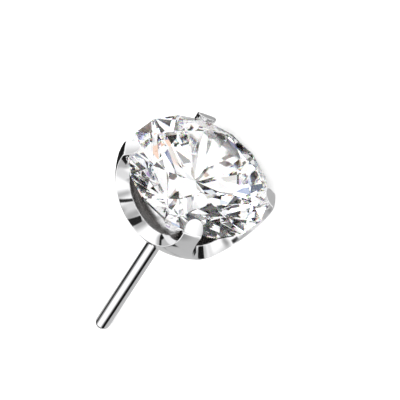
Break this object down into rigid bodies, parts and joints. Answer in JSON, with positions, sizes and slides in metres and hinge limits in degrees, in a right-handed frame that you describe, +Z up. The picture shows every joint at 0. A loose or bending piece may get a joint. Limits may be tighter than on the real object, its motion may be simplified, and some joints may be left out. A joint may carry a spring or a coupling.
{
  "type": "threadless gem top",
  "caption": "Push-in decorative top for body jewellery: a round faceted clear stone held by claws on a polished scalloped bowl, with a thin plain pin behind it.",
  "frame": {"origin": "centre of the bounding box's bottom face, on the surface that the stud lies on", "axes": "+X from the pin's tip towards the head, +Z up from the surface, +Y to the left of the head"},
  "size_m": [0.009, 0.005, 0.0049],
  "materials": {
    "polished_steel": "mirror polished",
    "clear_stone": "clear, faceted and polished"
  },
  "bodies": {
    "root": {"setting": "polished_steel", "gem": "clear_stone"}
  },
  "joints": []
}
